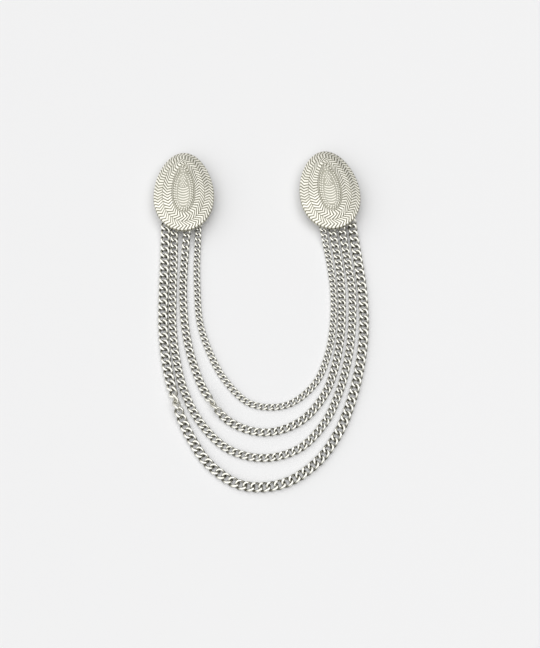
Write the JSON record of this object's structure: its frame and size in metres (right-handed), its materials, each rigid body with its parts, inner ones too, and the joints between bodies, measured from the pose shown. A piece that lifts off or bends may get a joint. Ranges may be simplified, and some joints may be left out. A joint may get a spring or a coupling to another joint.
{
  "type": "lapel chain",
  "caption": "Egg-shaped brooches with herringbone relief, joined by a swag of curb chains of graded length and fastened by pin backs.",
  "frame": {"origin": "on the surface that the part lies on, under the middle of its bounding box", "axes": "+X across from the left brooch to the right one, +Y up from the hanging chains to the brooches' tops, +Z up out of the relief"},
  "size_m": [0.0935, 0.1578, 0.0072],
  "materials": {
    "plate_metal": "pale silver-toned plating with a faint warm tint, satin on the cast relief",
    "chain_metal": "polished silver-toned plating, darkened between the links",
    "pin_metal": "plain nickel-toned steel"
  },
  "bodies": {
    "root": {"plate_left": "plate_metal", "plate_right": "plate_metal", "pin_left": "pin_metal", "pin_right": "pin_metal", "chain_outer": "chain_metal", "chain_third": "chain_metal", "chain_second": "chain_metal", "chain_inner": "chain_metal"}
  },
  "joints": []
}
